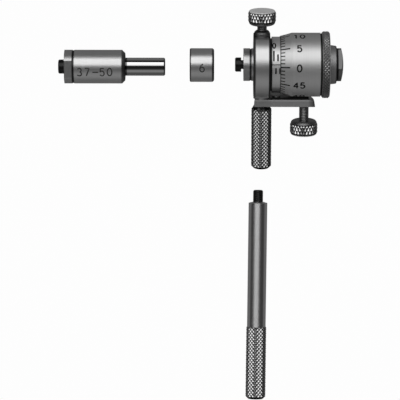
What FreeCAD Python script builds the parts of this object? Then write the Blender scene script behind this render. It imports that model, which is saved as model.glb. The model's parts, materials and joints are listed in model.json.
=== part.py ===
import FreeCAD, Part
import Sketcher
import math
import os

# Inside micrometer, 25 to 50 mm, laid out as a set on a table: the head with its short rod
# fitted, the long rod, the 6 mm spacing collar and the extension handle.
# +X runs along the spindle to the right, +Y is the top of the layout, +Z is up from the table.
# Each turned piece is drawn as half of its outline, along its own axis, and turned about it.

Vector = FreeCAD.Vector

# Driving sizes in millimetres, and counts
driving = {
    # What the tool measures
    "zero_length": 25.0,        # over the short rod at a reading of nought
    "travel": 7.0,              # of the thimble
    "reading": 1.507,           # that the thimble shows
    "rod_step": 12.0,           # from the short rod to the long one
    "collar_length": 6.0,
    # Gaps between pieces that fit
    "running_gap": 0.02,        # radial, for what turns or slides in another piece
    "leaf_gap": 0.03,           # from the lock leaf to the thimble
    # Ring
    "ring_radius": 8.25,
    "ring_width": 4.1,
    "ring_left_chamfer": 0.45,
    "ring_right_chamfer": 0.4,
    "ring_flat": 7.2,           # from the axis to the flat round the clamp boss
    "boss_radius": 2.02,
    "boss_top": 8.75,
    "boss_round": 1.15,
    "boss_root": 0.6,           # below the flat
    "seat_boss": 1.2,           # height of the boss inside the seat
    "stud_spare": 0.2,          # beyond the grip's stud
    "seat_drop": 8.4,           # from the axis to the seat of the lock arm
    "relief_width": 0.35,
    "relief_depth": 0.4,
    "spigot_length": 2.0,
    "spigot_wall": 0.95,
    # Core tube that the nut runs on
    "core_radius": 3.5,
    "socket_spare": 0.5,
    "socket_chamfer": 0.3,
    # Sleeve
    "sleeve_radius": 6.85,
    "sleeve_wall": 0.6,
    "zero_mark": 4.95,          # from the ring's left face
    "sleeve_spare": 0.6,
    # Thimble
    "thimble_gap": 0.05,        # radial, over the sleeve
    "thimble_edge": 0.1,
    "bevel_length": 2.95,
    "barrel_radius": 7.83,
    "rim_groove": 0.3,
    "rim_groove_depth": 0.25,
    "rim_radius": 8.2,
    "rim_width": 1.95,
    "rim_chamfer": 0.2,
    "rim_teeth": 56,
    "rim_row": 0.39,            # along the rim, from one row of diamonds to the next
    "rim_knurl_depth": 0.2,
    "web_thickness": 1.6,
    "cap_radius": 4.84,
    "cap_length": 1.68,
    "cap_taper": 0.2,           # lost from the radius on the way to the anvil
    "cap_chamfer": 0.15,
    "cap_gap": 0.12,
    "anvil_radius": 4.04,
    "anvil_neck_radius": 3.9,
    "anvil_edge": 1.05,         # length of the anvil's straight side
    "anvil_rise": 0.55,         # of its rounded face
    "anvil_across_flats": 6.18,
    "anvil_turn": 51.0,         # degrees, from the head's cross axis to the flats
    # Nut tube
    "nut_tube_radius": 4.75,
    "nut_thread_length": 4.0,
    "nut_tube_bore": 3.8,
    "spindle_radius": 2.9,
    "end_clearance": 0.3,
    "nut_tube_floor": 0.85,
    # Rods
    "short_reach": 4.5,         # from the ring's left face to the contact
    "short_radius": 4.0,
    "short_flange": 0.5,
    "short_nut_radius": 4.0,
    "short_nut_width": 1.6,
    "short_nut_step": 0.35,
    "short_tip_radius": 1.75,
    "short_tip_width": 1.5,
    "long_radius": 4.15,
    "long_chamfer": 0.75,
    "long_nut_width": 1.95,
    "long_nut_step": 0.45,
    "long_tip_radius": 1.74,
    "long_tip_width": 1.55,
    "nut_step_depth": 0.12,
    "long_nut_flats": 7.14,
    "long_nut_turn": 100.2,     # degrees
    "short_nut_flats": 7.0,
    "short_nut_turn": 126.5,    # degrees
    "tip_round": 0.35,
    "stem_radius": 1.1,
    "stem_depth": 2.5,
    "shank_radius": 2.23,
    "shank_length": 9.85,
    "shank_chamfer": 0.25,
    # Collar
    "collar_radius": 4.15,
    "collar_chamfer": 0.2,
    "collar_round": 0.6,
    # Clamp screw and lock screw
    "screw_radius": 1.16,
    "clamp_knob": 10.05,        # from the axis to the knob
    "lock_knob": 14.05,
    "lock_place": 12.5,         # from the ring's left face
    "knob_radius": 3.42,
    "knob_height": 3.5,
    "knob_round": 0.7,
    "knob_edge": 0.3,
    "knob_teeth": 26,
    "knob_rows": 4,
    "knob_knurl_depth": 0.2,
    "pad_radius": 0.8,
    "pad_length": 2.3,
    "pad_stem_radius": 0.45,
    "pad_stem_length": 0.8,
    "lock_pad_length": 0.9,
    # Lock arm and leaf
    "arm_length": 14.9,
    "arm_start": 0.25,
    "arm_width": 4.0,
    "arm_thickness": 1.8,
    "arm_slant": 0.25,
    "arm_round": 1.65,
    "leaf_thickness": 0.4,
    "leaf_width": 3.4,
    "leaf_start": 0.15,         # from the ring's right face
    "leaf_end": 13.6,           # from the ring's left face
    "leaf_flat": 3.0,
    "leaf_ramp": 3.2,
    "rivet_place": 1.4,         # from the leaf's left end
    "rivet_radius": 0.5,
    "rivet_head_radius": 1.0,
    "rivet_head_height": 0.25,
    # Grip and handle
    "stud_radius": 1.22,
    "stud_chamfer": 0.25,
    "grip_reach": 26.2,         # from the axis to the grip's end
    "grip_radius": 2.52,
    "grip_top_slope": 0.8,
    "grip_end_slope": 0.45,
    "grip_teeth": 18,
    "grip_row": 0.475,          # along the grip, from one row of diamonds to the next
    "grip_knurl_depth": 0.2,
    "grip_stud_length": 3.0,
    "grip_hole_depth": 3.4,
    "handle_stud_length": 2.9,
    "handle_stud_hold": 3.0,
    "handle_stem_radius": 1.0,
    "shaft_radius": 2.32,
    "shaft_length": 30.73,
    "shaft_shoulder": 0.3,
    "handle_grip_length": 18.5,
    "handle_lean": 0.6,         # degrees
    # Places on the table
    "rod_to_collar": 6.1,
    "collar_to_head": 5.13,
    "grip_to_stud": 5.2,
    "rod_drop": 0.6,
    "collar_drop": 0.17,
    "handle_offset": 0.73,
}


# A size together with the formula that the sheet works it out by
class Size:
    def __init__(self, value, formula):
        self.value = value
        self.formula = formula

    def __float__(self):
        return float(self.value)

    def with_other(self, other, sign, value):
        return Size(value, f"({self.formula} {sign} {formula_of(other)})")

    def __add__(self, other):
        return self.with_other(other, "+", float(self) + float(other))

    def __sub__(self, other):
        return self.with_other(other, "-", float(self) - float(other))

    def __mul__(self, other):
        return self.with_other(other, "*", float(self) * float(other))

    def __truediv__(self, other):
        return self.with_other(other, "/", float(self) / float(other))

    def __neg__(self):
        return Size(-float(self), f"(0 - {self.formula})")


def formula_of(size):
    return size.formula if isinstance(size, Size) else str(size)


doc = FreeCAD.newDocument("inside_micrometer")
sheet = doc.addObject("Spreadsheet::Sheet", "sizes")
size = {}
for row, (alias, value) in enumerate(driving.items(), start=1):
    sheet.set(f"A{row}", alias)
    sheet.set(f"B{row}", str(value))
    sheet.setAlias(f"B{row}", alias)
    size[alias] = Size(value, f"sizes.{alias}")
doc.recompute()


# Sketches and features

def origin_plane(body, role):
    return next(item for item in body.Origin.OriginFeatures if item.Role == role)


# One coordinate of a corner: on the axis where it is nought, or bound to its formula
def bind_corner(sketch, kind, axis, geometry, end, place):
    if isinstance(place, Size):
        index = sketch.addConstraint(Sketcher.Constraint(kind, -1, 1, geometry, end, float(place)))
        sketch.setExpression(f"Constraints[{index}]", place.formula)
    else:
        sketch.addConstraint(Sketcher.Constraint("PointOnObject", geometry, end, axis))


# The arc between two corners, with its centre on the side that makes the outline bulge
def arc_between(start, end, radius, inside_on_left):
    chord = end - start
    middle = (start + end) * 0.5
    rise = math.sqrt(max(radius ** 2 - (chord.Length / 2) ** 2, 0))
    left = Vector(-chord.y, chord.x, 0).normalize()
    centre = middle + left * (rise if inside_on_left else -rise)
    start_angle = math.atan2(start.y - centre.y, start.x - centre.x)
    end_angle = math.atan2(end.y - centre.y, end.x - centre.x)
    if not inside_on_left:
        start_angle, end_angle = end_angle, start_angle
    return Part.ArcOfCircle(Part.Circle(centre, Vector(0, 0, 1), radius), start_angle, end_angle)


# A closed outline. Each corner is (along, across), with a radius where an arc leads up to it
def outline(body, corners, role="XY_Plane"):
    sketch = body.newObject("Sketcher::SketchObject", body.Name + "_outline")
    sketch.AttachmentSupport = (origin_plane(body, role), "")
    sketch.MapMode = "FlatFace"
    points = [Vector(float(corner[0]), float(corner[1]), 0) for corner in corners]
    area = sum(a.x * b.y - b.x * a.y for a, b in zip(points, points[1:] + points[:1]))
    ends = []
    for index, point in enumerate(points):
        following = (index + 1) % len(points)
        if len(corners[following]) == 3:
            radius = corners[following][2]
            arc = arc_between(point, points[following], float(radius), area > 0)
            geometry = sketch.addGeometry(arc, False)
            bound = sketch.addConstraint(Sketcher.Constraint("Radius", geometry, float(radius)))
            sketch.setExpression(f"Constraints[{bound}]", radius.formula)
            ends.append((geometry, 1, 2) if area > 0 else (geometry, 2, 1))
        else:
            geometry = sketch.addGeometry(Part.LineSegment(point, points[following]), False)
            ends.append((geometry, 1, 2))
    for (geometry, start, end), (following, next_start, next_end) in zip(ends, ends[1:] + ends[:1]):
        sketch.addConstraint(Sketcher.Constraint("Coincident", geometry, end, following, next_start))
    for (geometry, start, end), corner in zip(ends, corners):
        bind_corner(sketch, "DistanceX", -2, geometry, start, corner[0])
        bind_corner(sketch, "DistanceY", -1, geometry, start, corner[1])
    return sketch


def turned(body, corners, kind="PartDesign::Revolution", about="H_Axis"):
    sketch = outline(body, corners)
    feature = body.newObject(kind, body.Name + "_turning")
    feature.Profile = sketch
    feature.ReferenceAxis = (sketch, [about])
    feature.Angle = 360
    doc.recompute()
    return feature


def bored(body, corners, about="H_Axis"):
    return turned(body, corners, "PartDesign::Groove", about)


# Adds or cuts a slab of the outline, half of its width on each side of the drawing plane
def slab(body, corners, width, kind="PartDesign::Pad", role="XY_Plane"):
    feature_sketch = outline(body, corners, role)
    feature = body.newObject(kind, body.Name + "_slab")
    feature.Profile = feature_sketch
    feature.SideType = "Symmetric"
    feature.setExpression("Length", width.formula)
    doc.recompute()
    return feature


# The same placement, turned about its own long axis
def rolled(placement, degrees):
    return placement * FreeCAD.Placement(Vector(0, 0, 0),
                                         FreeCAD.Rotation(Vector(1, 0, 0), float(degrees)))


# Two flats for a spanner, cut on a turned piece from one place on its axis to another
def spanner_flats(body, start, end, radius, across):
    for side in (1, -1):
        near = across / 2 * side
        far = (radius + 1) * side
        slab(body, [(start, near), (end, near), (end, far), (start, far)],
             (radius + 1) * 2, "PartDesign::Pocket")


def new_body(label, placement):
    body = doc.addObject("PartDesign::Body", label)
    body.Label = label
    body.Placement = placement
    return body


# A tube or rod from one place on the axis to another
def tube(body, start, end, radius, bore=0):
    return turned(body, [(start, bore), (start, radius), (end, radius), (end, bore)])


# Diamond knurl: grooves of both hands leave a pyramid at every other place of a grid that is
# wrapped round the axis. The first and last rows are half as long, and run out at the bottom
# of the grooves, which stays just outside the turned body that the band goes on.
def knurl(start, end, crest, root, teeth, rows):
    columns = 2 * teeth
    groove = (root + 0.01) / math.cos(math.pi / columns)

    def place(row, column):
        on_crest = (row + column) % 2 == 1 and 0 < row < rows
        radius = crest if on_crest else groove
        turn = 2 * math.pi * column / columns
        steps = min(max(row - 0.5, 0), rows - 1)
        along = start + (end - start) * steps / (rows - 1)
        return Vector(along, radius * math.sin(turn), -radius * math.cos(turn))

    grid = [[place(row, column) for column in range(columns)] for row in range(rows + 1)]
    edges = {}

    # Neighbouring faces share their edges
    def edge_between(first, second):
        key = (min(first, second), max(first, second))
        if key not in edges:
            edges[key] = Part.makeLine(*(grid[row][column] for row, column in key))
        return edges[key]

    def face_with(corners):
        pairs = zip(corners, corners[1:] + corners[:1])
        return Part.Face(Part.Wire([edge_between(first, second) for first, second in pairs]))

    faces = []
    for row in range(rows):
        for column in range(columns):
            beside = (column + 1) % columns
            corners = [(row, column), (row, beside), (row + 1, beside), (row + 1, column)]
            if (row + column) % 2:
                corners = corners[1:] + corners[:1]
            faces.append(face_with(corners[:3]))
            faces.append(face_with([corners[0], corners[2], corners[3]]))
    for row in (0, rows):
        faces.append(face_with([(row, column) for column in range(columns)]))
    solid = Part.Solid(Part.Shell(faces))
    if solid.Volume < 0:
        solid.reverse()
    return solid


# Joins a knurled band to the turned body that carries it, under the sub-part's label
def with_knurl(label, body, band_shape):
    band = doc.addObject("Part::Feature", label + "_knurl")
    band.Shape = band_shape
    band.Placement = body.Placement
    whole = doc.addObject("Part::Fuse", label + "_whole")
    whole.Base = body
    whole.Tool = band
    body.Label = label + "_turned"
    whole.Label = label
    doc.recompute()
    return whole


# Places of the head's pieces, all from the axis and the middle of the ring

ring_face = -size["ring_width"] / 2
ring_back = size["ring_width"] / 2
zero_place = ring_face + size["zero_mark"]
thimble_start = zero_place + size["reading"]
bevel_end = thimble_start + size["bevel_length"]
anvil_tip = ring_face - size["short_reach"] + size["zero_length"] + size["reading"]
anvil_shoulder = anvil_tip - size["anvil_rise"]
anvil_start = anvil_shoulder - size["anvil_edge"]
cap_end = anvil_start - size["cap_gap"]
rim_end = cap_end - size["cap_length"]
rim_start = rim_end - size["rim_width"]
barrel_end = rim_start - size["rim_groove"]
thimble_bore = size["sleeve_radius"] + size["thimble_gap"]
web_start = rim_end - size["web_thickness"]

# The nut tube closes on the core tube's end when the thimble is screwed right in
nut_tube_end = web_start - size["running_gap"]
cavity_end = nut_tube_end - size["nut_tube_floor"]
core_end = cavity_end - size["reading"] - size["end_clearance"]
arm_top = size["seat_drop"]
arm_bottom = arm_top + size["arm_thickness"]
arm_left = ring_face + size["arm_start"]
arm_right = arm_left + size["arm_length"]
lock_x = ring_face + size["lock_place"]
knob_root = size["knob_radius"] - size["knob_knurl_depth"]
grip_root = size["grip_radius"] - size["grip_knurl_depth"]

# An even number of rows puts the last crest at the bottom of the grip as it lies
def grip_rows(length):
    return max(4, 2 * round(length / float(size["grip_row"]) / 2))


# The head rests on its ring and on the last crest of the grip, so it rolls back by this angle
grip_band_start = arm_bottom + size["grip_top_slope"]
grip_band_end = size["grip_reach"] - size["grip_end_slope"]
grip_band = float(grip_band_end - grip_band_start)
crest_along = float(grip_band_end) - grip_band / (grip_rows(grip_band) - 1) / 2
crest_reach = math.hypot(crest_along, float(size["grip_radius"]))
ring_height = float(size["ring_radius"])
roll = math.asin(ring_height / crest_reach) - math.atan2(float(size["grip_radius"]), crest_along)

# The layout is centred on the origin. Its left end is the long rod's contact, its right end
# the anvil, its top the clamp knob and its bottom the end of the handle.
long_reach = size["short_reach"] + size["rod_step"]
half_length = float(long_reach + size["shank_length"] + size["rod_to_collar"]
                    + size["collar_length"] + size["collar_to_head"]
                    + size["zero_length"] + size["reading"]) / 2
rod_x = -half_length + float(long_reach)
collar_x = rod_x + float(size["shank_length"] + size["rod_to_collar"])
head_x = (collar_x + float(size["collar_length"] + size["collar_to_head"] + size["short_reach"])
          + float(size["ring_width"]) / 2)

lean = math.radians(float(size["handle_lean"]))
edge = float(size["knob_edge"])
knob_top = float(size["clamp_knob"] + size["knob_height"])
top_rise = ((knob_top - edge) * math.cos(roll)
            + (float(knob_root) - edge) * math.sin(roll) + edge)
grip_end_radius = float(grip_root - size["grip_end_slope"])
grip_fall = (float(size["grip_reach"]) * math.cos(roll) + grip_end_radius * math.sin(roll))
handle_length = float(size["shaft_length"] + size["handle_grip_length"])
handle_fall = (grip_fall + float(size["grip_to_stud"])
               + float(size["handle_stud_length"]) * math.cos(lean))
bottom_fall = (handle_fall + handle_length * math.cos(lean)
               + grip_end_radius * math.sin(lean))
head_y = (bottom_fall - top_rise) / 2

head = FreeCAD.Placement(Vector(head_x, head_y, ring_height),
                         FreeCAD.Rotation(Vector(1, 0, 0), math.degrees(roll)))


# Placements for pieces on a cross axis of the head, with their own axis up or down
def upward(along):
    turn = FreeCAD.Rotation(Vector(0, 0, 1), 90)
    return head * FreeCAD.Placement(Vector(float(along), 0, 0), turn)


def downward(along):
    turn = FreeCAD.Rotation(Vector(0, 0, 1), -90)
    return head * FreeCAD.Placement(Vector(float(along), 0, 0), turn)


# Head

def ring_frame():
    body = new_body("ring_frame", head)
    outer = size["ring_radius"]
    left = size["ring_left_chamfer"]
    right = size["ring_right_chamfer"]
    relief = size["sleeve_radius"] - size["relief_depth"]
    relief_end = ring_back + size["relief_width"]
    spigot = size["sleeve_radius"] - size["sleeve_wall"]
    spigot_end = relief_end + size["spigot_length"]
    hollow = spigot - size["spigot_wall"]
    turned(body, [(ring_face, size["core_radius"]), (ring_face, outer - left),
                  (ring_face + left, outer), (ring_back - right, outer),
                  (ring_back, outer - right), (ring_back, relief), (relief_end, relief),
                  (relief_end, spigot), (spigot_end, spigot), (spigot_end, hollow),
                  (ring_back, hollow), (ring_back, size["core_radius"])])
    flat = size["ring_flat"]
    slab(body, [(ring_face - 1, flat), (ring_back + 1, flat),
                (ring_back + 1, outer + 1), (ring_face - 1, outer + 1)],
         outer * 2, "PartDesign::Pocket")
    boss = size["boss_radius"]
    top = size["boss_top"]
    curve = size["boss_round"]
    root = flat - size["boss_root"]
    turned(body, [(0, root), (boss, root), (boss, top - curve), (boss - curve, top, curve),
                  (0, top)], about="V_Axis")
    seat = -size["seat_drop"]
    seat_top = seat + size["seat_boss"]
    turned(body, [(0, seat), (boss, seat), (boss, seat_top), (0, seat_top)], about="V_Axis")
    screw_bore = size["screw_radius"] + size["running_gap"]
    bored(body, [(0, size["core_radius"] - 1), (screw_bore, size["core_radius"] - 1),
                 (screw_bore, top + 1), (0, top + 1)], about="V_Axis")
    stud_end = seat + size["grip_stud_length"] - size["arm_thickness"] + size["stud_spare"]
    bored(body, [(0, seat - 1), (size["stud_radius"], seat - 1),
                 (size["stud_radius"], stud_end), (0, stud_end)], about="V_Axis")
    return body


def threaded_core():
    body = new_body("threaded_core", head)
    socket = size["shank_radius"] + size["running_gap"]
    chamfer = size["socket_chamfer"]
    floor = ring_face + size["shank_length"] + size["socket_spare"]
    outer = size["core_radius"]
    turned(body, [(ring_face, socket + chamfer), (ring_face, outer), (core_end, outer),
                  (core_end, 0), (floor, 0), (floor, socket), (ring_face + chamfer, socket)])
    pad_bore = size["pad_radius"] + size["running_gap"]
    bored(body, [(0, socket - 1), (pad_bore, socket - 1), (pad_bore, outer + 1), (0, outer + 1)],
          about="V_Axis")
    return body


def sleeve():
    body = new_body("sleeve", head)
    outer = size["sleeve_radius"]
    tube(body, ring_back + size["relief_width"], zero_place + size["travel"] + size["sleeve_spare"],
         outer, outer - size["sleeve_wall"])
    return body


def thimble():
    body = new_body("thimble", head)
    outer = size["barrel_radius"]
    bore = thimble_bore
    hub_bore = size["spindle_radius"] + size["running_gap"]
    groove_floor = outer - size["rim_groove_depth"]
    rim_root = size["rim_radius"] - size["rim_knurl_depth"]
    chamfer = size["rim_chamfer"]
    turned(body, [(thimble_start, bore), (thimble_start, bore + size["thimble_edge"]),
                  (bevel_end, outer), (barrel_end, outer), (barrel_end, groove_floor),
                  (rim_start, groove_floor), (rim_start, rim_root - chamfer),
                  (rim_start + chamfer, rim_root), (rim_end - chamfer, rim_root),
                  (rim_end, rim_root - chamfer), (rim_end, hub_bore), (web_start, hub_bore),
                  (web_start, bore)])
    start = float(rim_start + chamfer)
    end = float(rim_end - chamfer)
    rows = 1 + max(2, round((end - start) / float(size["rim_row"])))
    crest = float(size["rim_radius"])
    band = knurl(start, end, crest, float(rim_root), driving["rim_teeth"], rows)
    hollow = Part.makeCylinder(crest - 1, end - start, Vector(start, 0, 0), Vector(1, 0, 0))
    return with_knurl("thimble", body, band.cut(hollow))


def thimble_cap():
    body = new_body("thimble_cap", head)
    outer = size["cap_radius"]
    chamfer = size["cap_chamfer"]
    bore = size["spindle_radius"] + size["running_gap"]
    narrow = outer - size["cap_taper"]
    turned(body, [(rim_end, bore), (rim_end, outer), (cap_end - chamfer, narrow),
                  (cap_end, narrow - chamfer), (cap_end, bore)])
    return body


def end_anvil():
    body = new_body("end_anvil", rolled(head, size["anvil_turn"]))
    outer = size["anvil_radius"]
    bore = size["spindle_radius"] + size["running_gap"]
    rise = size["anvil_rise"]
    dome = (outer * outer + rise * rise) / (rise * 2)
    floor = anvil_shoulder
    turned(body, [(cap_end, bore), (cap_end, size["anvil_neck_radius"]),
                  (anvil_start, size["anvil_neck_radius"]), (anvil_start, outer),
                  (anvil_shoulder, outer), (anvil_tip, 0, dome), (floor, 0), (floor, bore)])
    spanner_flats(body, anvil_start, anvil_tip + 1, outer, size["anvil_across_flats"])
    return body


def nut_tube():
    body = new_body("nut_tube", head)
    outer = size["nut_tube_radius"]
    thread = size["core_radius"] + size["running_gap"]
    start = thimble_start + size["end_clearance"]
    thread_end = start + size["nut_thread_length"]
    shoulder = nut_tube_end
    floor = cavity_end
    spindle = size["spindle_radius"]
    spindle_end = anvil_shoulder - size["running_gap"]
    bore = size["nut_tube_bore"]
    turned(body, [(start, thread), (start, outer), (shoulder, outer), (shoulder, spindle),
                  (spindle_end, spindle), (spindle_end, 0), (floor, 0), (floor, bore),
                  (thread_end, bore), (thread_end, thread)])
    return body


# Clamp screw and lock screw: a brass pad in the screw's end, and a knurled knob

def pad(label, placement, start, length):
    body = new_body(label, placement)
    shoulder = start + length
    stem_end = shoulder + size["pad_stem_length"]
    stem = size["pad_stem_radius"]
    turned(body, [(start, 0), (start, size["pad_radius"]), (shoulder, size["pad_radius"]),
                  (shoulder, stem), (stem_end, stem), (stem_end, 0)])
    return body


def knob_screw(label, placement, start, knob):
    body = new_body(label, placement)
    radius = size["screw_radius"]
    hole = size["pad_stem_radius"] + size["running_gap"]
    hole_end = start + size["pad_stem_length"] + size["running_gap"]
    top = knob + size["knob_height"]
    rounded = size["knob_round"]
    edge_round = size["knob_edge"]
    turned(body, [(start, hole), (start, radius), (knob, radius), (knob, knob_root - rounded),
                  (knob + rounded, knob_root, rounded), (top - edge_round, knob_root),
                  (top, knob_root - edge_round, edge_round), (top, 0), (hole_end, 0),
                  (hole_end, hole)])
    band = knurl(float(knob + rounded), float(top - edge_round), float(size["knob_radius"]),
                 float(knob_root), driving["knob_teeth"], driving["knob_rows"])
    return with_knurl(label, body, band)


# Lock arm, its spring leaf and the rivet

def lock_arm():
    body = new_body("lock_arm", head)
    curve = size["arm_round"]
    slant = size["arm_slant"]
    slab(body, [(arm_left, -arm_bottom), (arm_right, -arm_bottom),
                (arm_right, -arm_top - curve), (arm_right - curve, -arm_top, curve),
                (arm_left + slant, -arm_top)], size["arm_width"])
    for along, radius in ((0, size["stud_radius"] + size["running_gap"]),
                          (lock_x, size["screw_radius"] + size["running_gap"]),
                          (rivet_x, size["rivet_radius"])):
        drilled(body, along, radius)
    return body


# A round hole across the head, through whatever the body has there
def drilled(body, along, radius):
    sketch = body.newObject("Sketcher::SketchObject", body.Name + "_hole")
    sketch.AttachmentSupport = (origin_plane(body, "XZ_Plane"), "")
    sketch.MapMode = "FlatFace"
    circle = sketch.addGeometry(Part.Circle(Vector(float(along), 0, 0), Vector(0, 0, 1),
                                            float(radius)), False)
    bind_corner(sketch, "DistanceX", -2, circle, 3, along)
    bind_corner(sketch, "DistanceY", -1, circle, 3, 0)
    bound = sketch.addConstraint(Sketcher.Constraint("Radius", circle, float(radius)))
    sketch.setExpression(f"Constraints[{bound}]", radius.formula)
    hole = body.newObject("PartDesign::Pocket", body.Name + "_drilling")
    hole.Profile = sketch
    hole.SideType = "Symmetric"
    hole.setExpression("Length", ((arm_bottom + 1) * 2).formula)
    doc.recompute()


def lock_leaf():
    body = new_body("lock_leaf", head)
    thick = size["leaf_thickness"]
    bottom = -arm_top
    lift = arm_top - size["barrel_radius"] - size["leaf_gap"] - thick
    start = ring_back + size["leaf_start"]
    bend = start + size["leaf_flat"]
    raised = bend + size["leaf_ramp"]
    end = ring_face + size["leaf_end"]
    slab(body, [(start, bottom), (bend, bottom), (raised, bottom + lift), (end, bottom + lift),
                (end, bottom + lift + thick), (raised, bottom + lift + thick),
                (bend, bottom + thick), (start, bottom + thick)], size["leaf_width"])
    drilled(body, rivet_x, size["rivet_radius"])
    return body


def leaf_rivet():
    body = new_body("leaf_rivet", downward(rivet_x))
    head_end = arm_top - size["leaf_thickness"]
    head_start = head_end - size["rivet_head_height"]
    turned(body, [(head_start, 0), (head_start, size["rivet_head_radius"]),
                  (head_end, size["rivet_head_radius"]), (head_end, size["rivet_radius"]),
                  (arm_bottom, size["rivet_radius"]), (arm_bottom, 0)])
    return body


# Rods, collar, grip and handle

def contact_rod(prefix, placement, radius, chamfer, nut_radius, reach, nut_width, nut_step,
                flats, flats_turn, tip_radius, tip_width, tip_neck):
    contact = -reach
    nut_start = contact + tip_width + tip_neck
    nut_end = nut_start + nut_width
    body_start = nut_end + nut_step
    stem = size["stem_radius"]
    shank = size["shank_radius"]
    shank_end = size["shank_length"]
    end_chamfer = size["shank_chamfer"]
    hole_end = body_start + size["stem_depth"]

    rod = new_body(prefix + "_rod", placement)
    if chamfer is None:
        shoulder = [(0, radius), (0, shank)]
    else:
        shoulder = [(-chamfer, radius), (0, radius - chamfer), (0, shank)]
    turned(rod, [(body_start, stem), (body_start, radius)] + shoulder
           + [(shank_end - end_chamfer, shank), (shank_end, shank - end_chamfer), (shank_end, 0),
              (hole_end, 0), (hole_end, stem)])

    nut = new_body(prefix + "_rod_nut", rolled(placement, flats_turn))
    step = nut_radius - size["nut_step_depth"]
    turned(nut, [(nut_start, stem), (nut_start, nut_radius), (nut_end, nut_radius),
                 (nut_end, step), (body_start, step), (body_start, stem)])
    spanner_flats(nut, nut_start, nut_end, nut_radius, flats)

    tip = new_body(prefix + "_rod_tip", placement)
    tip_round = size["tip_round"]
    tip_end = contact + tip_width
    turned(tip, [(contact, 0), (contact, tip_radius - tip_round),
                 (contact + tip_round, tip_radius, tip_round), (tip_end, tip_radius),
                 (tip_end, stem), (hole_end, stem), (hole_end, 0)])
    return [rod, nut, tip]


def spacing_collar():
    place = Vector(collar_x, head_y - float(size["collar_drop"]), float(size["collar_radius"]))
    body = new_body("spacing_collar", FreeCAD.Placement(place, FreeCAD.Rotation()))
    outer = size["collar_radius"]
    bore = size["shank_radius"] + size["running_gap"]
    chamfer = size["collar_chamfer"]
    curve = size["collar_round"]
    length = size["collar_length"]
    turned(body, [(0, bore), (0, outer - chamfer), (chamfer, outer), (length - curve, outer),
                  (length, outer - curve, curve), (length, bore)])
    return body


def grip():
    body = new_body("grip", downward(0))
    stud_start = arm_bottom - size["grip_stud_length"]
    stud = size["stud_radius"]
    end = size["grip_reach"]
    top_slope = size["grip_top_slope"]
    end_slope = size["grip_end_slope"]
    mouth = end - size["grip_hole_depth"]
    turned(body, [(stud_start, 0), (stud_start, stud), (arm_bottom, stud),
                  (arm_bottom, grip_root - end_slope), (arm_bottom + top_slope, grip_root),
                  (end - end_slope, grip_root), (end, grip_root - end_slope), (end, stud),
                  (mouth, stud), (mouth, 0)])
    band = grip_knurl(grip_band_start, grip_band_end)
    hole = Part.makeCylinder(float(stud), float(end), Vector(float(mouth), 0, 0), Vector(1, 0, 0))
    return with_knurl("grip", body, band.cut(hole))


def grip_knurl(start, end):
    rows = grip_rows(float(end - start))
    return knurl(float(start), float(end), float(size["grip_radius"]), float(grip_root),
                 driving["grip_teeth"], rows)


def handle_placement():
    place = Vector(head_x - float(size["handle_offset"]), head_y - handle_fall,
                   float(size["grip_radius"]))
    return FreeCAD.Placement(place, FreeCAD.Rotation(Vector(0, 0, 1), -90 - math.degrees(lean)))


def extension_handle():
    body = new_body("extension_handle", handle_placement())
    stem = size["handle_stem_radius"]
    shaft = size["shaft_radius"]
    shoulder = size["shaft_shoulder"]
    grip_start = size["shaft_length"]
    slope = size["grip_end_slope"]
    end = grip_start + size["handle_grip_length"]
    hold = size["handle_stud_hold"]
    turned(body, [(0, stem), (0, size["stud_radius"]), (shoulder, shaft), (grip_start, shaft),
                  (grip_start + slope, grip_root), (end - slope, grip_root),
                  (end, grip_root - slope), (end, 0), (hold, 0), (hold, stem)])
    return with_knurl("extension_handle", body, grip_knurl(grip_start + slope, end - slope))


def handle_stud():
    body = new_body("handle_stud", handle_placement())
    stud = size["stud_radius"]
    chamfer = size["stud_chamfer"]
    tip = -size["handle_stud_length"]
    stem = size["handle_stem_radius"]
    stem_end = size["handle_stud_hold"]
    turned(body, [(tip, 0), (tip, stud - chamfer), (tip + chamfer, stud), (0, stud), (0, stem),
                  (stem_end, stem), (stem_end, 0)])
    return body


# The set

rivet_x = ring_back + size["leaf_start"] + size["rivet_place"]
pad_start = size["shank_radius"] + size["running_gap"]
leaf_underside = size["barrel_radius"] + size["leaf_gap"] + size["leaf_thickness"]
lock_pad_start = leaf_underside + size["running_gap"]
short_place = head * FreeCAD.Placement(Vector(float(ring_face), 0, 0), FreeCAD.Rotation())
long_place = FreeCAD.Placement(Vector(rod_x, head_y - float(size["rod_drop"]),
                                      float(size["long_radius"])), FreeCAD.Rotation())
no_neck = size["running_gap"] * 0

sub_parts = [ring_frame(), threaded_core(), sleeve(), thimble(), thimble_cap(), end_anvil(),
             nut_tube()]
sub_parts.append(pad("clamp_pad", upward(0), pad_start, size["pad_length"]))
sub_parts.append(knob_screw("clamp_screw", upward(0), pad_start + size["pad_length"],
                            size["clamp_knob"]))
sub_parts.append(pad("lock_pad", downward(lock_x), lock_pad_start, size["lock_pad_length"]))
sub_parts.append(knob_screw("lock_screw", downward(lock_x),
                            lock_pad_start + size["lock_pad_length"], size["lock_knob"]))
sub_parts += [lock_arm(), lock_leaf(), leaf_rivet(), grip()]
short_neck = (size["short_reach"] - size["short_flange"] - size["short_nut_step"]
              - size["short_nut_width"] - size["short_tip_width"])
sub_parts += contact_rod("short", short_place, size["short_radius"], None,
                         size["short_nut_radius"], size["short_reach"], size["short_nut_width"],
                         size["short_nut_step"], size["short_nut_flats"],
                         size["short_nut_turn"], size["short_tip_radius"],
                         size["short_tip_width"], short_neck)
sub_parts += contact_rod("long", long_place, size["long_radius"], size["long_chamfer"],
                         size["long_radius"], long_reach, size["long_nut_width"],
                         size["long_nut_step"], size["long_nut_flats"],
                         size["long_nut_turn"], size["long_tip_radius"],
                         size["long_tip_width"], no_neck)
sub_parts += [spacing_collar(), extension_handle(), handle_stud()]

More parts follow.
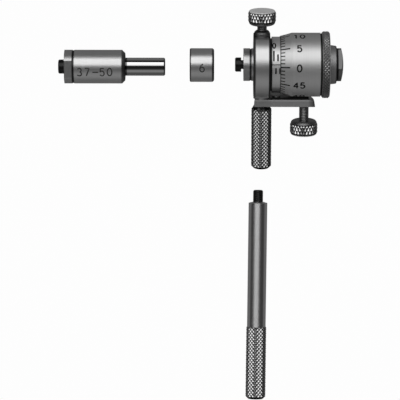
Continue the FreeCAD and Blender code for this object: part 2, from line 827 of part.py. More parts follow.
doc.recompute()
for item in doc.Objects:
    if "Invalid" in item.State or "Error" in item.State:
        raise RuntimeError(f"{item.Label} failed to build")
os.makedirs("parts", exist_ok=True)
for piece in sub_parts:
    shape = piece.Shape
    if shape.isNull() or not shape.isValid() or len(shape.Solids) != 1:
        raise RuntimeError(f"{piece.Label} is not one sound solid")
    shape.exportStep(f"parts/{piece.Label}.step")
    print(f"{piece.Label}: {shape.Volume:.2f} mm3")
print(f"roll {math.degrees(roll):.3f} degrees, head at {head_x:.3f}, {head_y:.3f}")
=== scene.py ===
import json
import math

import bpy
from mathutils import Matrix, Vector


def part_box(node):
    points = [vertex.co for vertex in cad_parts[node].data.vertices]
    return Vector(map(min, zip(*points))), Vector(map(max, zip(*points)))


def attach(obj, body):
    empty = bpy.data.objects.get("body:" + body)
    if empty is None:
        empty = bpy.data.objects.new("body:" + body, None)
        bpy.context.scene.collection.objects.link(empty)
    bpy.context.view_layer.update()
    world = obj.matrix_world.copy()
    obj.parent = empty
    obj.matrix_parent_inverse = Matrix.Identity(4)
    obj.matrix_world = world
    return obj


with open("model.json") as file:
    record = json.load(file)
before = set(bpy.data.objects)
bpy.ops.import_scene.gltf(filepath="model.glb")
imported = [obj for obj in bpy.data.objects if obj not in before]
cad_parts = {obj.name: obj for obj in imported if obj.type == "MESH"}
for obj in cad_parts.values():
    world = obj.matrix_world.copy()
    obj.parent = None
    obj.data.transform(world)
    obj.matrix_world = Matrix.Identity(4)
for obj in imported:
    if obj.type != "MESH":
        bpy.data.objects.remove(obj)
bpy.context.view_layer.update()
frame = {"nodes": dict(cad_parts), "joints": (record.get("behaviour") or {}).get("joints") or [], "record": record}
nodes = frame["nodes"]
mm = 0.001  # the scene is in metres
print("frame loaded,", len(nodes), "nodes")


# Axes of the turned pieces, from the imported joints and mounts
joints = {joint["name"]: joint for joint in frame["joints"]}
mounts = {mount["name"]: mount for mount in frame["record"]["mounts"]}
alongSet = Vector((1, 0, 0))  # spindle, rods and collar
headCentre = Vector(joints["thimble_turn"]["pos_m"])
crossAxis = Vector(joints["clamp_screw_turn"]["axis"])  # clamp screw, lock screw and grip
lockCentre = Vector(joints["lock_screw_turn"]["pos_m"])
handleAxis = -Vector(mounts["handle_stud"]["axis"])  # from the stud to the handle's end
handleCentre = Vector(mounts["handle_stud"]["pos_m"])
rodShoulder = Vector(mounts["rod_shank"]["pos_m"])
rodShoulder.x -= mounts["rod_shank"]["dims"]["length_mm"] / 2 * mm


def middleOf(node):
    low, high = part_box(node)
    return (low + high) / 2


# Node helpers

def addNode(tree, kind, inputs=None, **options):
    node = tree.nodes.new(kind)
    for option, value in options.items():
        setattr(node, option, value)
    for name, value in (inputs or {}).items():
        if isinstance(value, bpy.types.NodeSocket):
            tree.links.new(value, node.inputs[name])
        else:
            node.inputs[name].default_value = value
    return node


def mathNode(tree, operation, first, second=0.0):
    node = addNode(tree, "ShaderNodeMath", {0: first, 1: second}, operation=operation)
    return node.outputs[0]


def vectorNode(tree, operation, first, second=(0, 0, 0), output="Vector"):
    node = addNode(tree, "ShaderNodeVectorMath", {0: first, 1: second}, operation=operation)
    return node.outputs[output]


def rangeNode(tree, value, fromMin=0.0, fromMax=1.0, toMin=0.0, toMax=1.0, blend="LINEAR"):
    node = addNode(tree, "ShaderNodeMapRange",
                   {"Value": value, "From Min": fromMin, "From Max": fromMax,
                    "To Min": toMin, "To Max": toMax}, interpolation_type=blend)
    return node.outputs[0]


# Depth is in mm, and under is the normal that the bump goes on top of
def bumpNode(tree, height, depth, strength=1.0, under=None):
    inputs = {"Height": height, "Strength": strength, "Distance": depth * mm}
    if under is not None:
        inputs["Normal"] = under
    return addNode(tree, "ShaderNodeBump", inputs).outputs[0]


def distanceAlong(tree, offset, axis):
    return vectorNode(tree, "DOT_PRODUCT", offset, axis, "Value")


def distanceFrom(tree, offset, axis):
    across = vectorNode(tree, "CROSS_PRODUCT", offset, axis)
    return vectorNode(tree, "LENGTH", across, output="Value")


# One where a place is further along the axis than start, in mm, and nought before it
def isBeyond(tree, offset, axis, start):
    return mathNode(tree, "GREATER_THAN", distanceAlong(tree, offset, axis), start * mm)


# The share where the mask is one, and one where it is nought
def shareWithin(tree, mask, share):
    rest = mathNode(tree, "SUBTRACT", 1.0, share)
    return mathNode(tree, "SUBTRACT", 1.0, mathNode(tree, "MULTIPLY", mask, rest))


def grey(level):
    return (level, level, level, 1.0)


# Stops are pairs of a place from nought to one and the grey there
def fillRamp(ramp, stops):
    elements = ramp.color_ramp.elements
    while len(elements) < len(stops):
        elements.new(0.5)  # moved below
    for element, (position, level) in zip(elements, stops):
        element.position = position
        element.color = grey(level)


# A node group. Its inputs are given with their usual values, and its outputs are numbers
def newGroup(name, inputs, outputs):
    group = bpy.data.node_groups.new(name, "ShaderNodeTree")
    for label, value in inputs.items():
        kind = "NodeSocketVector" if isinstance(value, tuple) else "NodeSocketFloat"
        socket = group.interface.new_socket(label, in_out="INPUT", socket_type=kind)
        socket.default_value = value
    for label in outputs:
        group.interface.new_socket(label, in_out="OUTPUT", socket_type="NodeSocketFloat")
    given = group.nodes.new("NodeGroupInput").outputs
    made = group.nodes.new("NodeGroupOutput").inputs
    return group, given, made


turningGrain = {
    "fineShare": 0.4, "fineDetail": 2.0,
    "slowShare": 0.6, "slowDetail": 1.0, "slowScale": 0.11,  # broader bands of rings
}


# Fine rings that a lathe leaves, across the axis of a turned piece
def turningRings(look):
    group, given, made = newGroup(
        "turningRings",
        {"Position": (0, 0, 0), "Centre": (0, 0, 0), "Axis": (1, 0, 0), "Ring Width": 0.05},
        ["Height", "Shade"])
    offset = vectorNode(group, "SUBTRACT", given["Position"], given["Centre"])
    along = distanceAlong(group, offset, given["Axis"])
    outward = distanceFrom(group, offset, given["Axis"])
    travel = mathNode(group, "ADD", along, outward)  # rings on end faces too
    width = mathNode(group, "MULTIPLY", given["Ring Width"], mm)
    steps = mathNode(group, "DIVIDE", travel, width)
    fine = addNode(group, "ShaderNodeTexNoise",
                   {"W": steps, "Scale": 1.0, "Detail": look["fineDetail"]},
                   noise_dimensions="1D").outputs["Fac"]
    slow = addNode(group, "ShaderNodeTexNoise",
                   {"W": steps, "Scale": look["slowScale"], "Detail": look["slowDetail"]},
                   noise_dimensions="1D").outputs["Fac"]
    blend = mathNode(group, "ADD", mathNode(group, "MULTIPLY", fine, look["fineShare"]),
                     mathNode(group, "MULTIPLY", slow, look["slowShare"]))
    group.links.new(fine, made["Height"])
    group.links.new(blend, made["Shade"])
    return group


handling = {
    "smearDetail": 3.0,
    "scuffScale": 14.0, "scuffDetail": 4.0,
    "scuffFrom": 0.62, "scuffTo": 0.74,  # the noise's level where a scuff starts and is full
}


# Soft smears and small scuffs from being handled
def handlingMarks(look):
    group, given, made = newGroup("handlingMarks", {"Position": (0, 0, 0), "Patch Size": 3.0},
                                  ["Smear", "Scuff"])
    size = mathNode(group, "MULTIPLY", given["Patch Size"], mm)
    sizes = addNode(group, "ShaderNodeCombineXYZ", {0: size, 1: size, 2: size})
    place = vectorNode(group, "DIVIDE", given["Position"], sizes.outputs[0])
    smear = addNode(group, "ShaderNodeTexNoise",
                    {"Vector": place, "Scale": 1.0, "Detail": look["smearDetail"]})
    scuff = addNode(group, "ShaderNodeTexNoise",
                    {"Vector": place, "Scale": look["scuffScale"], "Detail": look["scuffDetail"]})
    spots = rangeNode(group, scuff.outputs["Fac"], look["scuffFrom"], look["scuffTo"])
    group.links.new(smear.outputs["Fac"], made["Smear"])
    group.links.new(spots, made["Scuff"])
    return group


# Grooves of a screw thread, on whatever is no further than Reach from the axis
def screwThread():
    group, given, made = newGroup(
        "screwThread",
        {"Position": (0, 0, 0), "Centre": (0, 0, 0), "Axis": (0, 1, 0), "Pitch": 0.4,
         "Reach": 1.3},
        ["Height"])
    offset = vectorNode(group, "SUBTRACT", given["Position"], given["Centre"])
    across = vectorNode(group, "CROSS_PRODUCT", offset, given["Axis"])
    parts = addNode(group, "ShaderNodeSeparateXYZ", {0: across}).outputs
    turns = mathNode(group, "DIVIDE", mathNode(group, "ARCTAN2", parts[0], parts[2]), 2 * math.pi)
    pitch = mathNode(group, "MULTIPLY", given["Pitch"], mm)
    pitches = mathNode(group, "DIVIDE", distanceAlong(group, offset, given["Axis"]), pitch)
    wave = mathNode(group, "PINGPONG", mathNode(group, "ADD", pitches, turns), 0.5)
    height = mathNode(group, "MULTIPLY", wave, 2.0)  # nought in a groove, one on the next crest
    outward = vectorNode(group, "LENGTH", across, output="Value")
    near = mathNode(group, "LESS_THAN", outward, mathNode(group, "MULTIPLY", given["Reach"], mm))
    group.links.new(mathNode(group, "MULTIPLY", height, near), made["Height"])
    return group


flankTurn = 0.3  # of the normal along Worn, where a flank counts as fully turned


# A knurl's pyramids: how far up them a place is, nought in the grooves and one on the crests,
# and one on the flanks that face along Lit Side, nought on those that face the other way;
# these drive painted shade in the grooves and on the flanks turned away from the light
def knurlRise():
    group, given, made = newGroup(
        "knurlRise",
        {"Position": (0, 0, 0), "Normal": (0, 0, 1), "Centre": (0, 0, 0), "Axis": (0, 1, 0),
         "Lit Side": (0, 1, 0), "Root": 2.3, "Crest": 2.5},
        ["Rise", "Flank"])
    offset = vectorNode(group, "SUBTRACT", given["Position"], given["Centre"])
    root = mathNode(group, "MULTIPLY", given["Root"], mm)
    crest = mathNode(group, "MULTIPLY", given["Crest"], mm)
    rise = rangeNode(group, distanceFrom(group, offset, given["Axis"]), root, crest)
    lean = distanceAlong(group, given["Normal"], given["Lit Side"])
    group.links.new(rise, made["Rise"])
    group.links.new(rangeNode(group, lean, -flankTurn, flankTurn), made["Flank"])
    return group


groups = {"turningRings": turningRings(turningGrain), "handlingMarks": handlingMarks(handling),
          "screwThread": screwThread(), "knurlRise": knurlRise()}


def useGroup(tree, name, inputs):
    return addNode(tree, "ShaderNodeGroup", inputs, node_tree=groups[name]).outputs


print("node groups made")


# Metals

# The node tree of a new material or world, emptied
def clearTree(owner):
    owner.use_nodes = True
    owner.node_tree.nodes.clear()
    return owner.node_tree


def newMaterial(name):
    material = bpy.data.materials.new(name)
    tree = clearTree(material)
    shader = addNode(tree, "ShaderNodeBsdfPrincipled")
    addNode(tree, "ShaderNodeOutputMaterial", {0: shader.outputs[0]})
    return material, tree, shader


# A share of the brightness for each place along an axis, from pairs of mm and share
def shadeAlong(tree, offset, axis, bands):
    first, last = bands[0][0], bands[-1][0]
    place = rangeNode(tree, distanceAlong(tree, offset, axis), first * mm, last * mm)
    ramp = addNode(tree, "ShaderNodeValToRGB", {"Fac": place})
    fillRamp(ramp, [((start - first) / (last - first), share) for start, share in bands])
    return ramp.outputs[0]


# Rougher where it was handled
def markedRoughness(tree, marks, look):
    smear = mathNode(tree, "MULTIPLY", marks["Smear"], look["smear"])
    scuff = mathNode(tree, "MULTIPLY", marks["Scuff"], look["scuff"])
    return mathNode(tree, "ADD", mathNode(tree, "ADD", smear, scuff),
                    look["roughness"] - look["smear"] / 2)


grainDepth = 0.01  # mm, of turning rings and of plain grain


# A turned metal. The sheen runs wide along the axis and stays narrow round it
def turnedMetal(name, centre, axis, look):
    material, tree, shader = newMaterial(name)
    place = addNode(tree, "ShaderNodeTexCoord").outputs
    offset = vectorNode(tree, "SUBTRACT", place["Object"], centre)
    turned = {"Position": place["Object"], "Centre": centre, "Axis": axis}
    rings = useGroup(tree, "turningRings", {**turned, "Ring Width": look["ringWidth"]})
    marks = useGroup(tree, "handlingMarks",
                     {"Position": place["Object"], "Patch Size": look["patchSize"]})
    shade = rangeNode(tree, rings["Shade"], toMin=look["brightness"] * (1 - look["ringShade"]),
                      toMax=look["brightness"] * (1 + look["ringShade"]))
    rough = markedRoughness(tree, marks, look)
    height = rings["Height"]

    shares = []  # of the brightness
    if "bands" in look:  # painted shade where it meets its neighbours, in grooves and on chamfers
        shares.append(shadeAlong(tree, offset, axis, look["bands"]))
    if "bandsDown" in look:  # painted shade and a painted highlight by height, from the axis down towards the lock arm
        shares.append(shadeAlong(tree, offset, -crossAxis, look["bandsDown"]))
    if "shank" in look:  # the ground shank of a rod, with painted stripes of the room's reflection
        shank = look["shank"]
        onShank = isBeyond(tree, offset, axis, shank["start"])
        reflectionStripes = shadeAlong(tree, offset, -crossAxis, shank["reflectionStripes"])
        shares.append(shareWithin(tree, onShank, reflectionStripes))
        polish = shareWithin(tree, onShank, shank["grainLeft"])
        rough = mathNode(tree, "MULTIPLY", rough, polish)
        height = mathNode(tree, "MULTIPLY", height, polish)
    if "boss" in look:  # painted shade on the boss, nearer to its axis than its reach
        boss = look["boss"]
        near = mathNode(tree, "LESS_THAN", distanceFrom(tree, offset, boss["axis"]),
                        boss["reach"] * mm)
        onBoss = mathNode(tree, "MULTIPLY", near,
                          isBeyond(tree, offset, boss["axis"], boss["start"]))
        shares.append(shareWithin(tree, onBoss, boss["share"]))
    if "knurl" in look:  # painted shade in the grooves, and on the flanks that face away from the light
        knurl = look["knurl"]
        climb = useGroup(tree, "knurlRise", {**turned, "Normal": place["Normal"],
                                             "Lit Side": crossAxis, "Root": knurl["root"],
                                             "Crest": knurl["crest"]})
        shares.append(rangeNode(tree, climb["Rise"], fromMax=knurl["cleanAt"],
                                toMin=knurl["grooveShade"], blend="SMOOTHSTEP"))
        shares.append(rangeNode(tree, climb["Flank"], toMin=knurl["flankShade"]))
    for share in shares:
        shade = mathNode(tree, "MULTIPLY", shade, share)
    colour = addNode(tree, "ShaderNodeCombineColor", {0: shade, 1: shade, 2: shade}).outputs[0]

    normal = bumpNode(tree, height, grainDepth, look["ringDepth"])
    if "lean" in look:  # the flanks lean towards the clamp knob's end
        fall = distanceAlong(tree, offset, -crossAxis / mm)
        normal = bumpNode(tree, fall, look["lean"], under=normal)
    if "thread" in look:
        thread = look["thread"]
        screw = useGroup(tree, "screwThread",
                         {**turned, "Pitch": thread["pitch"], "Reach": thread["reach"]})
        normal = bumpNode(tree, screw["Height"], thread["depth"], under=normal)

    aroundAxis = vectorNode(tree, "NORMALIZE", vectorNode(tree, "CROSS_PRODUCT", axis, offset))
    tangent = addNode(tree, "ShaderNodeVectorTransform", {"Vector": aroundAxis},
                      vector_type="VECTOR", convert_from="OBJECT", convert_to="WORLD").outputs[0]
    for output, socket in ((colour, "Base Color"), (rough, "Roughness"), (normal, "Normal"),
                           (tangent, "Tangent")):
        tree.links.new(output, shader.inputs[socket])
    shader.inputs["Metallic"].default_value = 1.0
    shader.inputs["Anisotropic"].default_value = look["sheenStretch"]
    shader.inputs["Anisotropic Rotation"].default_value = 0.25  # a quarter turn, along the axis
    return material


def plainMetal(name, look):
    material, tree, shader = newMaterial(name)
    position = addNode(tree, "ShaderNodeTexCoord").outputs["Object"]
    marks = useGroup(tree, "handlingMarks",
                     {"Position": position, "Patch Size": look["patchSize"]})
    worn = addNode(tree, "ShaderNodeMix", {"Factor": marks["Scuff"], "A": look["colour"],
                                           "B": look["wornColour"]}, data_type="RGBA")
    grain = addNode(tree, "ShaderNodeTexNoise", {"Vector": position, "Scale": look["grainScale"],
                                                 "Detail": 2.0})
    normal = bumpNode(tree, grain.outputs["Fac"], grainDepth, look["grain"])
    tree.links.new(worn.outputs["Result"], shader.inputs["Base Color"])
    tree.links.new(markedRoughness(tree, marks, look), shader.inputs["Roughness"])
    tree.links.new(normal, shader.inputs["Normal"])
    shader.inputs["Metallic"].default_value = look["metallic"]
    return material


def dress(material, *names):
    for name in names:
        mesh = nodes[name].data
        mesh.materials.clear()
        mesh.materials.append(material)


# Gives another material to the faces whose middle, along and away from an axis in mm, fits
def dressPart(name, material, centre, axis, fits):
    piece = nodes[name]
    piece.data.materials.append(material)
    last = len(piece.data.materials) - 1
    for face in piece.data.polygons:
        offset = piece.matrix_world @ face.center - centre
        if fits(offset.dot(axis) / mm, offset.cross(axis).length / mm):
            face.material_index = last


# Small rounded edges on a piece that was cut as a plain block
def softenEdges(name, edges):
    flatten = nodes[name].modifiers.new("flatten", "DECIMATE")
    flatten.decimate_type = "DISSOLVE"
    flatten.angle_limit = math.radians(edges["flatWithin"])
    soften = nodes[name].modifiers.new("soften", "BEVEL")
    soften.width = edges["width"] * mm
    soften.segments = edges["segments"]
    soften.limit_method = "ANGLE"
    soften.angle_limit = math.radians(edges["sharpFrom"])


satin = {
    "brightness": 0.76, "roughness": 0.44, "sheenStretch": 0.6, "ringWidth": 0.05,
    "ringDepth": 0.25, "ringShade": 0.05, "patchSize": 4.0, "smear": 0.04, "scuff": 0.03,
}
matte = dict(satin, brightness=0.82, roughness=0.54, sheenStretch=0.4)

# The head. Bands are pairs of mm from the middle of the ring and the share of brightness there; on the ring they
# are painted shade on its chamfers and at the groove by the sleeve, and the boss has painted shade too
ringFinish = dict(
    satin, boss={"axis": crossAxis, "reach": 2.1, "start": 7.0, "share": 0.2},
    bands=[(-2.05, 0.16), (-1.72, 0.2), (-1.45, 1.0), (1.55, 1.0), (1.72, 0.1), (2.5, 0.06)])
dress(turnedMetal("ring_satin", headCentre, alongSet, ringFinish), "ring_frame")

# Painted shade in the short rod's grooves and at its end
shortRodFinish = dict(
    satin, bands=[(-4.6, 0.6), (-4.35, 0.9), (-3.1, 0.9), (-2.92, 0.08), (-2.55, 0.08),
                  (-2.5, 1.0), (-2.2, 1.0), (-2.05, 0.3)])
dress(turnedMetal("short_rod_satin", headCentre, alongSet, shortRodFinish), "short_rod",
      "short_rod_nut")

# Painted shade where the sleeve meets the ring, and darker towards the lock arm below
sleeveFinish = dict(
    matte, brightness=0.95,
    bands=[(2.4, 0.15), (2.5, 1.0), (4.3, 1.0), (4.4, 0.7), (10.5, 0.7)],
    bandsDown=[(-7.0, 1.0), (4.1, 1.0), (4.9, 0.5), (5.6, 0.3), (7.0, 0.25)])
dress(turnedMetal("sleeve_satin", headCentre, alongSet, sleeveFinish), "sleeve")

# Painted shade at the thimble's edge by the sleeve and in the groove before the rim
thimbleFinish = dict(
    matte, bands=[(4.4, 0.25), (4.58, 0.35), (4.68, 1.0), (7.3, 1.02), (7.5, 1.0), (14.15, 1.0),
                  (14.22, 0.06), (14.64, 0.06), (14.75, 1.0), (16.6, 1.0)])
dress(turnedMetal("thimble_satin", headCentre, alongSet, thimbleFinish), "thimble")

knurled = dict(satin, brightness=1.0, roughness=0.2, sheenStretch=0.0, ringDepth=0.0)
# Painted shade in the knurls' grooves and on their flanks that face away from the light
pyramids = {"grooveShade": 0.25, "cleanAt": 0.25, "flankShade": 0.2}
rimKnurl = dict(knurled, knurl=dict(pyramids, root=8.01, crest=8.2, flankShade=0.8),
                brightness=0.56, roughness=0.36)
rim = {"start": 14.7, "inside": 7.95}
dressPart("thimble", turnedMetal("rim_knurl", headCentre, alongSet, rimKnurl), headCentre,
          alongSet, lambda along, outward: along > rim["start"] and outward > rim["inside"])

# Painted shade at the cap's ends and in the line where the anvil meets it
capFinish = dict(satin, brightness=0.5, roughness=0.6, sheenStretch=0.3,
                 bands=[(16.5, 0.5), (16.8, 1.0), (17.9, 1.0), (18.1, 0.4), (18.25, 0.1)])
dress(turnedMetal("cap_satin", headCentre, alongSet, capFinish), "thimble_cap")

anvilFinish = dict(satin, brightness=0.2, roughness=0.42, sheenStretch=0.2,
                   bands=[(18.2, 0.05), (18.6, 0.08), (18.75, 1.0), (20.0, 1.0)])
dress(turnedMetal("anvil_ground", headCentre, alongSet, anvilFinish), "end_anvil")

ground = {
    "brightness": 0.66, "roughness": 0.2, "sheenStretch": 0.6, "ringWidth": 0.03,
    "ringDepth": 0.15, "ringShade": 0.04, "patchSize": 3.0, "smear": 0.04, "scuff": 0.03,
}
dress(turnedMetal("head_ground", headCentre, alongSet, ground), "threaded_core", "nut_tube")

# Rod and collar. Bands go from the rod's shoulder and from the middle of the collar, and are painted shade in the
# rod's grooves and at its ends and on the collar's edges
rodFinish = dict(
    satin,
    bands=[(-15.0, 0.5), (-14.7, 0.9), (-13.15, 0.9), (-13.0, 0.06), (-12.58, 0.06),
           (-12.45, 1.0), (-1.0, 1.0), (-0.7, 0.35), (0.0, 0.12), (0.4, 0.15), (0.6, 1.0),
           (9.5, 1.0), (9.65, 0.2), (9.85, 0.1)],
    shank={
        "start": 0.0, "grainLeft": 0.1,
        # painted reflection: dark and light stripes by height on the shank
        "reflectionStripes": [(-2.3, 1.0), (-1.95, 1.0), (-1.76, 0.05), (-1.6, 0.05), (-1.42, 1.0),
                    (-0.95, 0.9), (-0.8, 0.2), (-0.66, 0.07), (-0.1, 0.11), (0.16, 0.25),
                    (0.42, 0.55), (0.69, 0.6), (0.97, 0.4), (1.27, 0.5), (1.58, 0.7),
                    (2.3, 0.5)],
    })
dress(turnedMetal("rod_satin", rodShoulder, alongSet, rodFinish), "long_rod", "long_rod_nut")

# Painted shade along the collar's edges
collarFinish = dict(satin, bands=[(-3.0, 0.1), (-2.78, 0.12), (-2.6, 1.0), (2.4, 1.0),
                                  (2.6, 0.15), (3.0, 0.08)])
dress(turnedMetal("collar_satin", middleOf("spacing_collar"), alongSet, collarFinish),
      "spacing_collar")

knob = {
    "clampFoot": 10.05,      # mm from the head's middle
    "lockFoot": 14.05,       # mm from the spindle's axis
    "height": 3.5,
    "shoulder": 0.65,        # bare, below the knurl
    "edge": 0.27,            # bare, above it
    "shank": 2.5,            # radius that has no knurl
    "shadeFrom": 1.2,        # painted shade on the screw below the knob starts here
    "shadeTo": 0.3,
    "shade": 0.7,
}
screwFinish = dict(satin, brightness=0.35, thread={"pitch": 0.4, "reach": 1.3, "depth": 0.12})
knobKnurl = dict(knurled, knurl=dict(pyramids, root=3.23, crest=3.42), brightness=0.84,
                 roughness=0.24, lean=0.2)
faceFinish = {
    "colour": grey(0.85), "wornColour": grey(0.9), "roughness": 0.5, "metallic": 0.15,
    "patchSize": 2.0, "smear": 0.1, "scuff": 0.08, "grain": 0.3, "grainScale": 9000.0,
}
knobFace = plainMetal("knob_face", faceFinish)


# A knurled knob on a dark screw, from `foot` mm along its axis, with painted shade on the screw just under the
# knob
def dressKnob(name, centre, axis, foot, shape):
    top = foot + shape["height"]
    darker = [(foot - shape["shadeFrom"], 1.0), (foot - shape["shadeTo"], shape["shade"]),
              (top, shape["shade"])]
    dress(turnedMetal(name + "_shank", centre, axis, dict(screwFinish, bands=darker)), name)
    start, end = foot + shape["shoulder"], top - shape["edge"]
    dressPart(name, turnedMetal(name + "_knurl", centre, axis, knobKnurl), centre, axis,
              lambda along, outward: start < along < end and outward > shape["shank"])
    dressPart(name, knobFace, centre, axis, lambda along, outward: along >= end)


dressKnob("clamp_screw", headCentre, crossAxis, knob["clampFoot"], knob)
dressKnob("lock_screw", lockCentre, -crossAxis, knob["lockFoot"], knob)

handleKnurl = dict(knurled, brightness=0.8, knurl=dict(pyramids, root=2.33, crest=2.52))
# Painted shade on the grip where it meets the lock arm
gripKnurl = dict(handleKnurl, brightness=0.5, lean=0.15,
                 bands=[(9.0, 0.25), (10.8, 0.25), (11.2, 1.0), (27.0, 1.0)])
dress(turnedMetal("grip_knurl", headCentre, -crossAxis, gripKnurl), "grip")

shaftFinish = dict(satin, brightness=0.84, roughness=0.28, sheenStretch=0.94, smear=0.02)
handleKnurlStart = 32.2  # mm from the stud
dress(turnedMetal("handle_satin", handleCentre, handleAxis, shaftFinish), "extension_handle")
dressPart("extension_handle", turnedMetal("handle_knurl", handleCentre, handleAxis, handleKnurl),
          handleCentre, handleAxis, lambda along, outward: along > handleKnurlStart)

studFinish = dict(satin, brightness=0.05, roughness=0.3, sheenStretch=0.3,
                  thread={"pitch": 0.5, "reach": 1.3, "depth": 0.2})
dress(turnedMetal("stud_thread", handleCentre, handleAxis, studFinish), "handle_stud")

blackSteel = {
    "colour": grey(0.03), "wornColour": grey(0.12), "roughness": 0.35, "metallic": 1.0,
    "patchSize": 1.5, "smear": 0.1, "scuff": 0.1, "grain": 0.2, "grainScale": 9000.0,
}
dress(plainMetal("black_steel", blackSteel), "short_rod_tip", "long_rod_tip", "lock_leaf")

# Painted highlight along the arm's top edge, and painted shade towards its right end
armFinish = dict(
    satin, brightness=1.0, roughness=0.5, sheenStretch=0.0, ringDepth=0.0, smear=0.1, scuff=0.1,
    bands=[(-2.0, 0.75), (1.7, 0.78), (2.5, 0.88), (11.4, 0.9), (12.1, 0.55), (12.8, 0.25)],
    bandsDown=[(8.3, 0.67), (8.43, 0.67), (8.46, 1.0), (8.76, 1.0), (8.8, 0.67), (10.5, 0.67)])
armEdges = {"width": 0.45, "segments": 5, "flatWithin": 1, "sharpFrom": 50}  # mm and degrees
dress(turnedMetal("arm_steel", headCentre, alongSet, armFinish), "lock_arm", "leaf_rivet")
softenEdges("lock_arm", armEdges)

brass = {
    "colour": (0.72, 0.55, 0.25, 1.0), "wornColour": (0.5, 0.36, 0.14, 1.0), "roughness": 0.3,
    "metallic": 1.0, "patchSize": 1.0, "smear": 0.1, "scuff": 0.1, "grain": 0.2,
    "grainScale": 9000.0,
}
dress(plainMetal("pad_brass", brass), "clamp_pad", "lock_pad")
print("metals made")


# Marks are thin raised strokes that follow the curve they are on

paintLook = {"grain": 0.3, "grainScale": 6000.0, "worn": 2.2, "gloss": 0.15}


def paintMaterial(name, level, roughness, look):
    material, tree, shader = newMaterial(name)
    position = addNode(tree, "ShaderNodeTexCoord").outputs["Object"]
    grain = addNode(tree, "ShaderNodeTexNoise", {"Vector": position, "Scale": look["grainScale"],
                                                 "Detail": 3.0}).outputs["Fac"]
    shade = addNode(tree, "ShaderNodeMix", {"Factor": grain, "A": grey(level),
                                            "B": grey(level * look["worn"])}, data_type="RGBA")
    tree.links.new(shade.outputs["Result"], shader.inputs["Base Color"])
    tree.links.new(bumpNode(tree, grain, grainDepth, look["grain"]), shader.inputs["Normal"])
    shader.inputs["Roughness"].default_value = roughness
    shader.inputs["Specular IOR Level"].default_value = look["gloss"]
    return material


markPaint = paintMaterial("mark_paint", 0.012, 0.55, paintLook)
markGrey = paintMaterial("mark_grey", 0.045, 0.5, paintLook)


# Gives a place on a piece turned about an axis along X: along it in mm, round it in degrees
def onTurned(centre, radiusAt):
    def place(along, turn, lift):
        radius = (radiusAt(along) + lift) * mm
        angle = math.radians(turn)
        return Vector((centre.x + along * mm, centre.y + radius * math.sin(angle),
                       centre.z + radius * math.cos(angle)))
    return place


# A stroke is a list of points (along, round) in mm, with the width of the line. It stands out
# of the surface by lift and goes into it by sink
def addStroke(verts, faces, points, width, place, arcRadius, lift=0.012, sink=0.03):
    steps = []
    for index, (x, y) in enumerate(points):
        before = points[max(index - 1, 0)]
        after = points[min(index + 1, len(points) - 1)]
        direction = Vector((after[0] - before[0], after[1] - before[1])).normalized()
        side = Vector((-direction.y, direction.x)) * width / 2
        steps.append((Vector((x, y)), side))
    first = len(verts)
    for centre, side in steps:
        for sign, height in ((1, lift), (-1, lift), (-1, -sink), (1, -sink)):
            spot = centre + side * sign
            verts.append(place(spot.x, math.degrees(spot.y / arcRadius), height))
    for index in range(len(steps) - 1):
        here = first + index * 4
        for corner in range(4):
            beside = (corner + 1) % 4
            faces.append((here + corner, here + beside, here + 4 + beside, here + 4 + corner))
    faces.append((first + 3, first + 2, first + 1, first))
    last = first + (len(steps) - 1) * 4
    faces.append((last, last + 1, last + 2, last + 3))


def arc(centreX, centreY, radiusX, radiusY, start, end, steps=14):
    angles = [math.radians(start + (end - start) * i / steps) for i in range(steps + 1)]
    return [(centreX + radiusX * math.cos(angle), centreY + radiusY * math.sin(angle))
            for angle in angles]


def straight(points, steps=6):
    made = [points[0]]
    for start, end in zip(points, points[1:]):
        made += [(start[0] + (end[0] - start[0]) * i / steps,
                  start[1] + (end[1] - start[1]) * i / steps) for i in range(1, steps + 1)]
    return made


# Each figure's strokes, in a box that is figureWidth wide and 1 tall
figureWidth = 0.6
figures = {
    "0": [arc(0.3, 0.5, 0.26, 0.46, 90, 450, 28)],
    "1": [straight([(0.12, 0.76), (0.32, 0.96), (0.32, 0.0)])],
    "2": [arc(0.3, 0.7, 0.25, 0.26, 165, -35)
          + straight([(0.44, 0.5), (0.05, 0.04), (0.56, 0.04)])],
    "3": [arc(0.28, 0.73, 0.23, 0.23, 150, -75), arc(0.28, 0.27, 0.26, 0.25, 75, -150)],
    "4": [straight([(0.42, 0.0), (0.42, 0.96), (0.03, 0.3), (0.58, 0.3)])],
    "5": [straight([(0.52, 0.95), (0.12, 0.95), (0.09, 0.52)])
          + arc(0.29, 0.32, 0.26, 0.3, 132, -150)],
    "6": [arc(0.3, 0.3, 0.25, 0.27, 90, 450, 24), arc(0.62, 0.34, 0.57, 0.62, 110, 178)],
    "7": [straight([(0.04, 0.95), (0.56, 0.95), (0.22, 0.0)])],
    "-": [straight([(0.05, 0.48), (0.75, 0.48)])],
}


# A row of figures with its middle at (x, y), as pairs of a stroke's points and its width
def writeRow(text, x, y, size):
    height, width, gap = size["height"], size["width"], size["gap"]
    total = len(text) * width + (len(text) - 1) * gap
    strokes = []
    for index, figure in enumerate(text):
        left = x - total / 2 + index * (width + gap)
        for points in figures[figure]:
            strokes.append(([(left + px / figureWidth * width, y - height / 2 + py * height)
                             for px, py in points], size["stroke"]))
    return strokes


def markPiece(name, strokes, place, arcRadius, body, paint=markPaint):
    verts, faces = [], []
    for points, width in strokes:
        addStroke(verts, faces, points, width, place, arcRadius)
    mesh = bpy.data.meshes.new(name)
    mesh.from_pydata([tuple(v) for v in verts], [], faces)
    mesh.validate()
    piece = bpy.data.objects.new(name, mesh)
    bpy.context.scene.collection.objects.link(piece)
    mesh.materials.append(paint)
    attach(piece, body)


